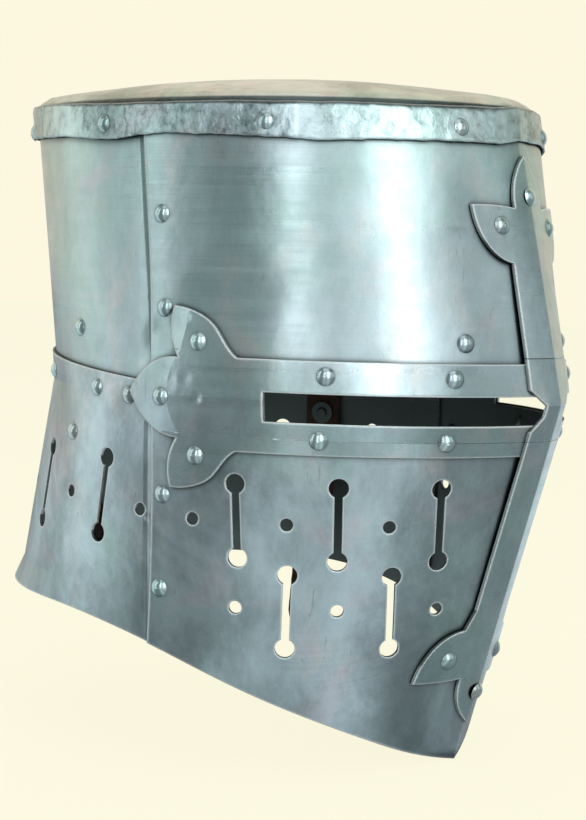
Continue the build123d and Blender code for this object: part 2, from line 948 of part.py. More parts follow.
with BuildPart() as cross_upright:
    add(wall(upright_face, upright_levels))
    with BuildSketch(Plane.XZ):
        with BuildLine():
            for curve in chin_curves + brow_curves:
                Spline(*curve)
            Polyline(*bar_points)
            Line(chin_curves[-1][-1], brow_curves[-1][-1])
        make_face()
        mirror(about=Plane.YZ)
    extrude(amount=ridge_reach + overrun, mode=Mode.INTERSECT)
    add(rivet_holes(upright_seats), mode=Mode.SUBTRACT)
cross_upright.part.label = "cross_upright"

with BuildPart() as upright_rivets:
    add(rivet_group(upright_seats))
upright_rivets.part.label = "upright_rivets"

# Liner: headband, its rivets and washers
with BuildPart() as liner_headband:
    add(wall(band_face, (band_bottom, band_top), leather))
    add(rivet_holes(liner_seats), mode=Mode.SUBTRACT)
liner_headband.part.label = "liner_headband"

with BuildPart() as liner_rivets:
    add(rivet_group(liner_seats))
liner_rivets.part.label = "liner_rivets"


def washers(seats):
    """A washer around each rivet, between the leather and the peened tail."""
    with BuildPart() as group:
        for item in seats:
            with BuildSketch(item.plane.offset(-item.grip + rivet_head_stand)):
                Circle(washer_radius)
                Circle(rivet_shank_radius + rivet_hole_clearance, mode=Mode.SUBTRACT)
            extrude(amount=washer_thickness)
    return group.part


with BuildPart() as liner_washers:
    add(washers(liner_seats))
liner_washers.part.label = "liner_washers"

# Liner tongues, cut from a leather cap that springs from the headband
tongue_face = inner_of(band_face, one_leather)
tongue_bottom = band_bottom + tongue_bottom_rise
tongue_spring = band_top + tongue_spring_rise
tongue_arch = (rim_height - tongue_spring) * tongue_arch_share
tongue_base = tongue_face(tongue_spring)


def cap_levels(thickness, bottom):
    """Levels of the leather cap's outer or inner face."""
    base = grown(tongue_base, -thickness)
    levels = [level(bottom, grown(tongue_face(bottom), -thickness))]
    for angle in tongue_arch_angles:
        rise = tongue_arch * sin(radians(angle)) - thickness * sin(radians(angle))
        levels.append(level(tongue_spring + rise, ring(base, cos(radians(angle)))))
    return levels


with BuildPart() as liner_cap:
    loft(sections=cap_levels(0, tongue_bottom), ruled=True)
    loft(sections=cap_levels(leather, tongue_bottom - overrun), ruled=True, mode=Mode.SUBTRACT)

tip_reach = tongue_base.half_width * tongue_tip_share
lace_ring_radius = tongue_base.half_width * lace_ring_share
lace_height = tongue_spring + tongue_arch * sin(radians(tongue_arch_angles[-1]))
tongue_reach = tongue_base.front + overrun
tongues = []
for index in range(tongue_count):
    turn = (index + 0.5) * 360 / tongue_count
    tongue_plane = Plane((0, axis_y, 0), x_dir=(sin(radians(turn)), -cos(radians(turn)), 0))
    with BuildPart() as tongue:
        add(liner_cap.part)
        with BuildSketch(tongue_plane):
            with BuildLine():
                Polyline(
                    (tip_reach, -tongue_tip_half_width),
                    (tongue_base.half_width, -tongue_half_width),
                    (tongue_reach, -tongue_half_width),
                    (tongue_reach, tongue_half_width),
                    (tongue_base.half_width, tongue_half_width),
                    (tip_reach, tongue_tip_half_width),
                    close=True,
                )
            make_face()
            with Locations((lace_ring_radius, 0)):
                Circle(lace_hole_radius, mode=Mode.SUBTRACT)
        extrude(amount=rim_height, mode=Mode.INTERSECT)
        add(rivet_holes(liner_seats), mode=Mode.SUBTRACT)
    tongue.part.label = f"liner_tongue_{index + 1}"
    tongues.append(tongue)

with BuildPart() as liner_lace:
    with BuildSketch(Plane.XZ):
        with Locations((lace_ring_radius, lace_height + lace_radius + leather_gap)):
            Circle(lace_radius)
    revolve(axis=Axis.Z)
liner_lace.part.label = "liner_lace"
liner_lace.part.locate(Location((0, axis_y, 0)))

# Chin straps hang in a plane of their own beside the wall: x is level, y is up, z is inward
strap_wall = inner_of(nape_face)
outward = strap_seat.plane.z_dir
inward = Vector(-outward.X, -outward.Y, 0).normalized()
up = Vector(0, 0, 1)
strap_level = up.cross(inward)
wall_spot = Vector(
    *curve_point(strap_wall(strap_rivet_height), "back", strap_rivet_share), strap_rivet_height
)


def wall_reach(across, rise):
    """How far the wall stands inward at a place beside and above the strap's rivet."""
    height = strap_rivet_height + rise

    def beside(share):
        spot = Vector(*curve_point(strap_wall(height), "back", share), height)
        return (wall_spot - spot).dot(strap_level) + across

    share = share_where(beside) if beside(0.0) < beside(1.0) else share_where(
        lambda value: -beside(value)
    )
    spot = Vector(*curve_point(strap_wall(height), "back", share), height)
    return (spot - wall_spot).dot(inward)


strap_stand = strap_wall_gap + max(
    wall_reach(across, rise)
    for across in (-strap_half_width, strap_half_width)
    for rise in (-strap_tab_drop, 0, strap_tab_rise)
)
strap_plane = Plane(origin=wall_spot + inward * strap_stand, x_dir=strap_level, z_dir=inward)
hinge_drop = strap_tab_drop + leather / 2 + strap_flex_gap

strap_tilt = radians(inward.get_angle(-outward))
strap_grip = (
    (strap_seat.plane.origin - wall_spot).dot(outward)
    + (strap_stand + leather) / cos(strap_tilt)
    + washer_radius * tan(strap_tilt)
    + washer_thickness
    + 2 * rivet_tail_stand
)
strap_seats = both_rivet_seats([RivetSeat(strap_seat.plane, strap_grip)])

with BuildPart() as strap_anchor_right:
    with BuildSketch(strap_plane):
        with Locations((0, -strap_tab_drop)):
            Rectangle(
                2 * strap_half_width,
                strap_tab_rise + strap_tab_drop,
                align=(Align.CENTER, Align.MIN),
            )
    extrude(amount=leather)
    add(rivet_holes(strap_seats), mode=Mode.SUBTRACT)
strap_anchor_right.part.label = "strap_anchor_right"

with BuildPart() as strap_anchor_left:
    mirror(strap_anchor_right.part, about=Plane.YZ)
strap_anchor_left.part.label = "strap_anchor_left"

with BuildPart() as strap_rivets:
    add(rivet_group(strap_seats))
strap_rivets.part.label = "strap_rivets"

with BuildPart() as strap_washers:
    add(washers(strap_seats))
strap_washers.part.label = "strap_washers"

# Below its tab each strap stands off the wall by its stiffness: hang_plane is the strap's
# own plane there, turned inward about the line where it bends
wall_lean = max(
    atan2(wall_reach(across, -drop) - wall_reach(across, 0), drop)
    for across in (-strap_half_width, strap_half_width)
    for drop in (hinge_drop + short_strap_length, hinge_drop + long_strap_length)
)
hang_angle = radians(strap_lean) + max(0.0, wall_lean)
hang_up = up * cos(hang_angle) - inward * sin(hang_angle)
hang_inward = inward * cos(hang_angle) + up * sin(hang_angle)
bend_line = strap_plane.origin - up * hinge_drop + inward * leather / 2
hang_plane = Plane(
    origin=bend_line + hang_up * hinge_drop - hang_inward * leather / 2,
    x_dir=strap_level,
    z_dir=hang_inward,
)
side_plane = Plane(
    origin=hang_plane.origin, x_dir=hang_inward, z_dir=hang_inward.cross(hang_up)
)

# Long strap, on the wearer's left, with its row of holes and its pointed end
long_point_height = -hinge_drop - long_strap_length
point_bulge_height = long_point_height + long_strap_point * point_height_share
with BuildPart() as long_strap_on_right:
    with BuildSketch(side_plane):
        with Locations((leather / 2, -hinge_drop)):
            Circle(leather / 2)
            Rectangle(leather, long_strap_length, align=(Align.CENTER, Align.MAX))
    extrude(amount=strap_half_width, both=True)
    with BuildSketch(hang_plane):
        with BuildLine():
            Polyline(
                (-strap_half_width, leather),
                (-strap_half_width, long_point_height + long_strap_point),
            )
            ThreePointArc(
                (-strap_half_width, long_point_height + long_strap_point),
                (-strap_half_width * point_width_share, point_bulge_height),
                (0, long_point_height),
            )
            ThreePointArc(
                (0, long_point_height),
                (strap_half_width * point_width_share, point_bulge_height),
                (strap_half_width, long_point_height + long_strap_point),
            )
            Polyline(
                (strap_half_width, long_point_height + long_strap_point),
                (strap_half_width, leather),
                (-strap_half_width, leather),
            )
        make_face()
    extrude(amount=2 * leather, both=True, mode=Mode.INTERSECT)
    with BuildSketch(hang_plane):
        for index in range(strap_hole_count):
            rise = strap_hole_margin + index * strap_hole_pitch
            with Locations((0, long_point_height + rise)):
                Circle(strap_hole_radius)
    extrude(amount=2 * leather, both=True, mode=Mode.SUBTRACT)

with BuildPart() as chin_strap_left:
    mirror(long_strap_on_right.part, about=Plane.YZ)
chin_strap_left.part.label = "chin_strap_left"

# Short strap, on the wearer's right, folded round the buckle's bar
loop_bore = buckle_wire + buckle_play
loop_radius = loop_bore + leather
bar_depth = leather + strap_fold_gap / 2
bar_drop = hinge_drop + short_strap_length
fold_top = -bar_drop + strap_fold_length
with BuildPart() as chin_strap_right:
    with BuildSketch(side_plane):
        with Locations((leather / 2, -hinge_drop)):
            Circle(leather / 2)
            Rectangle(leather, short_strap_length, align=(Align.CENTER, Align.MAX))
        with Locations((leather + strap_fold_gap, -bar_drop)):
            Rectangle(leather, strap_fold_length, align=(Align.MIN, Align.MIN))
        with Locations((bar_depth, -bar_drop)):
            Circle(loop_radius)
            Circle(loop_bore, mode=Mode.SUBTRACT)
    extrude(amount=strap_half_width, both=True)
    with BuildSketch(hang_plane):
        with Locations((0, -bar_drop - 2 * loop_radius)):
            Rectangle(
                2 * prong_slot_half_width,
                2 * loop_radius + prong_slot_rise,
                align=(Align.CENTER, Align.MIN),
            )
        with Locations((0, fold_top - fold_rivet_head)):
            Circle(fold_rivet_radius + rivet_hole_clearance)
    extrude(amount=3 * loop_radius, both=True, mode=Mode.SUBTRACT)
chin_strap_right.part.label = "chin_strap_right"

fold_rivet_plane = Plane(
    origin=hang_plane.origin
    + hang_up * (fold_top - fold_rivet_head)
    + hang_inward * (2 * leather + strap_fold_gap),
    x_dir=strap_level,
    z_dir=hang_inward,
)
with BuildPart() as strap_fold_rivet:
    with Locations(fold_rivet_plane):
        add(
            rivet(
                2 * leather + strap_fold_gap + rivet_tail_stand,
                fold_rivet_radius,
                fold_rivet_head,
                fold_rivet_head * fold_rivet_tail_share,
            )
        )
strap_fold_rivet.part.label = "strap_fold_rivet"

# Buckle: a wire frame whose upper side is the bar, and the prong that pivots on it
bar_plane = Plane(
    origin=hang_plane.origin + hang_inward * bar_depth - hang_up * bar_drop,
    x_dir=strap_level,
    z_dir=hang_inward,
)
frame_plane = Plane(
    origin=bar_plane.origin - hang_up * buckle_length / 2,
    x_dir=strap_level,
    z_dir=hang_inward,
)
with BuildPart() as chin_buckle_frame:
    with BuildSketch(frame_plane, mode=Mode.PRIVATE) as frame_outline:
        RectangleRounded(2 * buckle_half_width, buckle_length, buckle_corner)
    frame_path = frame_outline.sketch.wire()
    with BuildSketch(Plane(origin=frame_path @ 0, z_dir=frame_path % 0)):
        Circle(buckle_wire)
    sweep(path=frame_path)
chin_buckle_frame.part.label = "chin_buckle_frame"

prong_ring = buckle_wire + prong_play
prong_eye = prong_ring + prong_eye_share * prong_wire
prong_lift = buckle_wire + prong_wire + prong_play
prong_direction = (hang_inward * prong_lift - hang_up * buckle_length).normalized()
prong_reach = buckle_length + prong_overhang
prong_start = prong_ring + prong_wire
prong_plane = Plane(
    origin=bar_plane.origin + prong_direction * prong_start,
    x_dir=strap_level,
    z_dir=prong_direction,
)
ring_plane = Plane(origin=bar_plane.origin, x_dir=hang_inward, z_dir=strap_level)
with BuildPart() as chin_buckle_prong:
    with BuildSketch(ring_plane):
        Circle(prong_eye)
    extrude(amount=prong_wire, both=True)
    with BuildSketch(prong_plane):
        Circle(prong_wire)
    extrude(amount=prong_reach - prong_start)
    with BuildSketch(ring_plane):
        Circle(prong_ring)
    extrude(amount=2 * prong_wire, both=True, mode=Mode.SUBTRACT)
chin_buckle_prong.part.label = "chin_buckle_prong"

pieces = [
    crown_plate,
    crown_rivets,
    skull_front_plate,
    skull_back_plate,
    face_plate,
    nape_plate,
    side_seam_rivets,
    waist_rivets,
    cross_arm_right,
    cross_arm_left,
    cross_arm_rivets,
    cross_upright,
    upright_rivets,
    liner_headband,
    liner_rivets,
    liner_washers,
    *tongues,
    liner_lace,
    strap_anchor_right,
    strap_anchor_left,
    strap_rivets,
    strap_washers,
    chin_strap_left,
    chin_strap_right,
    strap_fold_rivet,
    chin_buckle_frame,
    chin_buckle_prong,
]

os.makedirs("parts", exist_ok=True)
for piece in pieces:
    export_step(piece.part, f"parts/{piece.part.label}.step")
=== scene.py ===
import math

import bpy
from mathutils import Matrix, Vector, noise


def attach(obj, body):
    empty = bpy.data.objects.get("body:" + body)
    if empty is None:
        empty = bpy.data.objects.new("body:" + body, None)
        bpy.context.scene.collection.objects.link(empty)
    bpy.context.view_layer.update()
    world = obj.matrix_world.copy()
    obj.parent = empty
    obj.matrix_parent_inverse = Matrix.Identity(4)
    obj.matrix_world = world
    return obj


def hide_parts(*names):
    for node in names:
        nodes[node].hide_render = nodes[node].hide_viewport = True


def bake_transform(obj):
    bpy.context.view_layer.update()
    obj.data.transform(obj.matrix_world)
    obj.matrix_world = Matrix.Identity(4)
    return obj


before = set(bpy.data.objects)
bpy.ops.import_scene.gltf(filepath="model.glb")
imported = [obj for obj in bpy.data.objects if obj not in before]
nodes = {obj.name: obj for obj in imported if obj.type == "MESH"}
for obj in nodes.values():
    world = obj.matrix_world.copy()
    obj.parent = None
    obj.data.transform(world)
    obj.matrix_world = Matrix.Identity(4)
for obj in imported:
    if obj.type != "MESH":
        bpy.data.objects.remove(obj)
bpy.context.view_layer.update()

# Camera, in metres and in degrees
camera_place = Vector((-0.79479, -0.60821, 0.24627))
camera_forward = Vector((0.78603, 0.61298, -0.08007))
camera_roll = 1.57
sensor_width = 36.0
lens = 83.96
lens_shift = 0.0247

# Studio colours, linear: what the camera sees behind the helm and under it
backdrop_cream = (0.982, 0.930, 0.745)
floor_cream = (1.0, 0.968, 0.772)
floor_pale = (0.95, 0.93, 0.80)

# Studio colours, linear: what lights the helm and is reflected in it
backdrop_beige = (0.90, 0.82, 0.68)
studio_grey = (0.26, 0.31, 0.31)
floor_grey = (0.50, 0.54, 0.56)

# The way to the backdrop, and how squarely a ray goes that way where the backdrop starts and
# where it is full
backdrop_way = (0.79, 0.61, 0.0)
backdrop_spread = (0.05, 0.6)

# Lamps: name, azimuth and elevation in degrees, distance, width and height in metres, radiance.
# Azimuth 0 is in front of the face, and 90 at its left
lamps = (
    ("key_strip", -31, 20, 2.0, 0.56, 2.4, 3.1),
    ("key_edge", -13, 26, 2.05, 0.50, 2.0, 1.20),
    ("side_strip", -71, 18, 2.0, 0.34, 2.4, 2.7),
    ("between_fill", -52, 18, 2.1, 0.5, 2.2, 0.85),
    ("rear_strip", -124, 18, 2.0, 0.42, 2.2, 1.40),
    ("rear_fill", -155, 15, 2.2, 1.4, 1.8, 0.56),
    ("top_box", -60, 80, 1.8, 1.4, 1.4, 0.75),
    ("front_fill", 18, 20, 2.2, 1.1, 1.6, 0.60),
)
lamp_centre = Vector((0, 0, 0.17))

# The floor: half its side and its depth under the helm, in metres
floor_half_side = 6.0
floor_drop = 0.001

# The floor's glow: its strength where nothing adds to it, the places where its reflection is
# brighter, each with its azimuth and half spread in degrees and its strength, and the share
# of the floor that glows toward the camera and in reflections
floor_glow = 0.29
floor_glows = (
    (-180, 40, 1.5), (180, 40, 1.5), (-142, 30, 2.2), (-68, 16, 1.5), (-47, 16, 1.0),
    (-30, 16, 1.7), (10, 55, 0.40), (90, 60, 2.2),
)
glow_to_camera = 0.93
glow_in_reflections = 0.60

# Steel tints, linear
steel_cool = (0.38, 0.52, 0.51)
steel_blue = (0.43, 0.53, 0.56)
steel_warm = (0.55, 0.55, 0.54)
steel_slate = (0.43, 0.51, 0.55)
steel_pink = (0.56, 0.50, 0.54)
steel_green = (0.36, 0.52, 0.46)
# The worn edges' colour: wear, and also a painted highlight along every edge
steel_wear_and_highlight = (0.90, 0.94, 0.93)
# The painted shade's colour: dark shade painted in corners, under edges, round rivets and on the
# crown's lip
steel_painted_shade = (0.030, 0.040, 0.038)
# The inside's colour: a dark forge skin, darkened further as painted shade
steel_skin_and_shade = (0.17, 0.21, 0.20)
steel_scale = (0.12, 0.17, 0.17)
# The dome's warm tint: a painted reflection of the cream backdrop
dome_reflection_tint = (1.22, 1.02, 0.92)
unchanged = (1.0, 1.0, 1.0)

# Patterns in the steel: cycles a metre on each axis, detail, roughness and distortion
patch_pattern = ((9.0, 9.0, 9.0), 4.0, 0.55, 0.2)
blotch_pattern = ((27.0, 27.0, 21.0), 5.0, 0.66, 0.15)
stain_pattern = ((21.0, 21.0, 30.0), 2.0, 0.5, 0.3)
cloud_pattern = ((19.0, 19.0, 12.0), 6.0, 0.70, 0.25)
ground_pattern = ((14.0, 14.0, 14.0), 3.0, 0.5)
grain_pattern = ((900.0, 900.0, 700.0), 3.0, 0.6)
scuff_pattern = ((420.0, 420.0, 60.0), 3.0, 0.6, 1.6)
scale_pattern = ((210.0, 210.0, 170.0), 6.0, 0.75, 0.15)
streak_pattern = ((16.0, 16.0, 1150.0), 4.0, 0.62)
long_streak_pattern = ((5.0, 5.0, 210.0), 4.0, 0.55)
undulation_pattern = ((13.0, 13.0, 9.0), 2.0, 0.4)
hammer_pattern = ((52.0, 52.0, 46.0), 2.0, 0.45)
peen_pattern = ((240.0, 240.0, 190.0), 4.0, 0.65, 0.4)
pit_pattern = ((330.0, 330.0, 300.0), 4.0, 0.62, 0.3)

# The level axis about which slanting brush lines are turned
brush_axis = (0.62, -0.78, 0.0)

# The values of a pattern between which its share grows from 0 to 1
patch_spread = (0.38, 0.64)
blotch_spread = (0.50, 0.78)
pink_spread = (0.60, 0.74)
green_spread = (0.40, 0.28)
cloud_spread = (0.32, 0.68)
ground_spread = (0.40, 0.62)
scuff_spread = (0.63, 0.72)
scuffed_spread = (0.45, 0.60)
scale_spread = (0.44, 0.66)
scaled_spread = (0.90, 0.40)

# Edges, corners and the inside: the width of the painted shade in a corner in metres, the
# samples that look for corners and for edges, and the values between which each share grows
# from 0 to 1
corner_reach = 0.0075
corner_samples = 12
edge_samples = 6
# The worn edge's share: wear and a painted highlight
wear_and_highlight_spread = (0.998, 0.90)
# Painted shade: the shares of the corner shade and the shadow, by how shut in a place is
corner_shade_spread = (0.84, 0.50)
shadow_spread = (0.985, 0.72)
inside_spread = (0.02, -0.06)

# How far each pattern moves the steel's shade, and how strongly each stain, the scale, wear with
# its painted highlight and each painted shade covers it
streak_shade = 0.34
grain_shade = 0.16
cloud_shade = 0.60
scuff_shade = 0.30
stain_cover = 0.40
scale_cover = 0.80
# How strongly the lip's painted shadow line darkens it
lip_shade_cover = 0.85
# Painted shade: how strongly the shadow and the corner shade darken the steel
shadow_cover = 0.52
# How strongly the worn edge's wear and painted highlight cover the steel
wear_and_highlight_cover = 0.85
corner_shade_cover = 0.60

# What brush lines, the forge skin and wear add to roughness, and what wear takes from the
# look of bare metal where the edges carry their painted highlight
streak_roughness = 0.20
skin_roughness = 0.30
worn_roughness = 0.22
worn_dullness = 0.75

# Depths of the patterns in the surface, in metres
undulation_depth = 0.0018
hammer_depth = 0.00022
streak_depth = 0.000030
peen_depth = 0.00006
pit_depth = 0.00030

# The middle of the shell, which tells its inside from its outside
shell_middle = (0.0, 0.0116, 0.19)

# The flats on the cross's arms: the middle leaf's round (y, z and radius) and the heights off
# its centre where it ends, the upper leaf's crease (a place and a direction across it, in y
# and z) and the heights where that leaf starts, and how much the flats slope
leaf_round = (-0.045, 0.182, 0.0302)
leaf_round_end = (0.0200, 0.0195)
leaf_crease = (-0.0211, 0.1994)
leaf_crease_across = (0.974, 0.226)
leaf_crease_start = (0.0190, 0.0196)
leaf_slope = 0.16

# Hollows along the side seams: both ends, half width and depth, in metres
plate_grooves = (
    ((-0.1112, -0.0046, 0.1900), (-0.1118, -0.0002, 0.2255), 0.0036, 0.0006),
    ((-0.1118, -0.0002, 0.2255), (-0.1081, 0.0112, 0.3148), 0.0036, 0.0006),
)
face_grooves = (
    ((-0.1137, -0.0018, 0.1650), (-0.1137, -0.0018, 0.1200), 0.0030, 0.0006),
    ((-0.1137, -0.0018, 0.1200), (-0.1100, -0.0018, 0.0550), 0.0030, 0.0006),
)

# Dents: place, radius and depth in metres, with a depth below 0 for a bulge
plate_dimples = (
    ((-0.1136, -0.0045, 0.2060), 0.013, 0.0011),
    ((-0.1066, -0.0446, 0.2255), 0.030, 0.0007),
    ((-0.0321, -0.1329, 0.2565), 0.035, 0.0007),
    ((0.0900, -0.0700, 0.2500), 0.040, 0.0010),
    ((0.0500, 0.1390, 0.2500), 0.045, 0.0010),
)
face_dimples = (
    ((-0.0880, -0.0756, 0.1053), 0.026, 0.0011),
    ((-0.0932, -0.0625, 0.0853), 0.020, -0.0008),
    ((-0.0722, -0.1082, 0.1540), 0.024, 0.0009),
    ((-0.0271, -0.1154, 0.0645), 0.030, 0.0010),
    ((0.0800, -0.0900, 0.1200), 0.040, 0.0011),
    ((0.1000, 0.0800, 0.1300), 0.040, 0.0010),
)
bar_dimples = (
    ((-0.1140, -0.0316, 0.1793), 0.0042, 0.0004),
    ((-0.1140, -0.0300, 0.1801), 0.0022, -0.0002),
    ((-0.1133, -0.0240, 0.2170), 0.0036, 0.0002),
    ((-0.1155, -0.0170, 0.1880), 0.0045, 0.00015),
    ((-0.1144, -0.0250, 0.1880), 0.0052, 0.0002),
    ((-0.1150, -0.0205, 0.1830), 0.0036, -0.0001),
    ((0.1140, -0.0250, 0.1850), 0.0080, 0.0006),
)

# Leather colours, linear, each with its darker patches
liner_brown = (0.16, 0.085, 0.045)
liner_dark = (0.06, 0.032, 0.018)
strap_brown = (0.12, 0.055, 0.03)
strap_dark = (0.04, 0.02, 0.012)

# Patterns in the leather, as in the steel, with the depths of its creases and its grain
wear_pattern = ((38.0, 38.0, 38.0), 5.0, 0.6, 0.5)
wear_spread = (0.3, 0.7)
crease_pattern = ((120.0, 120.0, 60.0), 4.0, 0.65, 1.2)
crease_depth = 0.0008
pore_scale = (900.0, 900.0, 900.0)
pore_depth = 0.00018

# Leather meshes: the size of their cells, and their smoothing
liner_cell = 0.0009
lace_cell = 0.0006
strap_cell = 0.00055
smoothing = 0.5
smoothing_rounds = 3

# The liner's tongues, counted from 1
tongues = range(1, 9)

# Leather ripples: their heights in metres, the cycles a metre of the long and the short ones,
# the short ones' share, how much of a ripple goes up and down, and what sets its sides apart
headband_ripple = 0.00022
tongue_ripple = 0.0006
lace_ripple = 0.0005
strap_ripple = 0.00012
long_ripple = 34.0
short_ripple = 85.0
short_share = 0.5
upward_share = 0.6
sideways_shift = Vector((7, 0, 0))

# The shell's outline under the crown, in metres: front, back and half width at the rim and at
# the knee, the rim's height and how far the knee lies below it, how far the flange's face
# stands out in front and at the sides, the y of the widest line, and the ridge's angle
rim_front, rim_back, rim_half_width = 0.1412, 0.1432, 0.1096
knee_front, knee_back, knee_half_width = 0.1693, 0.1198, 0.1156
rim_height = 0.318
knee_drop = 0.138
flange_stand = 0.0017
crown_axis = 0.011598
crown_ridge_angle = math.radians(2.5)
quarter_handle = 0.5523

# Steps that find an angle's place on the outline, and the step that finds its direction there
outline_rounds = 26
outline_step = 0.002

# How the crown's rim rises and how its lower edge waves: degrees from the front toward the
# wearer's right, rise of the rim, rise of the lower edge beside it, in millimetres
millimetre = 0.001
crown_waves = (
    (-180, 3.6, 0.4), (-158, 2.6, -0.8), (-136, 1.2, 0.5), (-112, 0.4, -0.9), (-95, 0.2, 0.8),
    (-74, 0.0, 1.0), (-58, 0.0, -0.6), (-41, 0.0, 0.4), (-27, 0.4, -0.8), (-12, 2.2, 0.5),
    (0, 2.6, 0.4), (7, 1.2, -0.4), (19, 0.2, 0.3), (27, 0.0, 0.2), (43, 0.0, -1.1),
    (57, 0.0, 0.4), (70, 0.0, 1.2), (81, 0.0, 2.1), (88, 0.0, 1.3), (97, 0.0, -0.2),
    (104, 0.3, -0.5), (120, 1.4, 0.4), (135, 2.6, -0.3), (150, 3.6, 0.0), (166, 3.8, 0.6),
    (180, 3.6, 0.4),
)

# The crown from its lower edge to its lip: inset from the flange's face, and height over the
# flange's lower edge or over the rim, in millimetres
flange_foot = ((1.5, 0.25), (1.0, 0.0), (0.45, 0.1), (0.1, 0.5), (0.0, 1.1))
crown_lip = (
    (0.05, -2.2), (0.2, -1.2), (0.6, -0.4), (1.1, 0.0), (1.6, -0.3), (2.0, -1.0),
    (2.4, -1.3), (2.8, -0.9), (3.3, 0.4), (4.4, 1.7), (7.0, 3.4),
)

# The height of the flange's foot and of the whole flange, and the plate's thickness, in metres
foot_height = 0.0011
flange_height = 0.017
crown_thickness = 0.0014

# The crown's mesh: columns around it and steps up its flange
crown_columns = 960
flange_steps = 14

# The rows of a column where the ragged foot ends, where hammering starts, where the lap gets
# lower and where hammering gets weaker, with what is left of each there
ragged_rows = 4
hammered_row = 2
lower_lap_row = 20
lap_left = 0.4
weaker_hammer_row = 23
hammer_left = 0.5

# The lap of the flange's ends: where it starts and how far it runs in degrees, its height in
# metres and how it falls
lap_start = 48.5
lap_run = 26
lap_height = 0.0007
lap_fall = 0.7

# The crown's unevenness: height in metres and cycles a metre of each layer of marks, and the
# same with a level between them for the waves of its rows and for its ragged foot
hammer_marks = ((0.00042, 95.0), (0.00030, 210.0), (0.00012, 520.0))
dome_marks = ((0.00035, 26.0), (0.00012, 70.0))
row_waves = (0.0004, 9.0, 60.0)
foot_waves = (0.00035, 3.0, 240.0)

# The dome: its rise, its roundness, its edge and its rings as shares of the rim, and the share
# over which the rim's rises fade
dome_rise = 0.018
dome_power = 0.66
dome_edge = 0.945
dome_rings = (0.93, 0.88, 0.82, 0.75, 0.67, 0.58, 0.48, 0.38, 0.28, 0.18, 0.09)
rise_fade = 0.35

# Heights between which the dome's warm tint, a painted reflection, starts and the lip's painted
# shadow line ends, and how much a face looks up where that painted shadow lies
dome_start = (rim_height + 0.0005, rim_height + 0.0035)
lip_shade_end = (rim_height + 0.0030, rim_height + 0.0018)
lip_shade_lean = (0.15, 0.5)


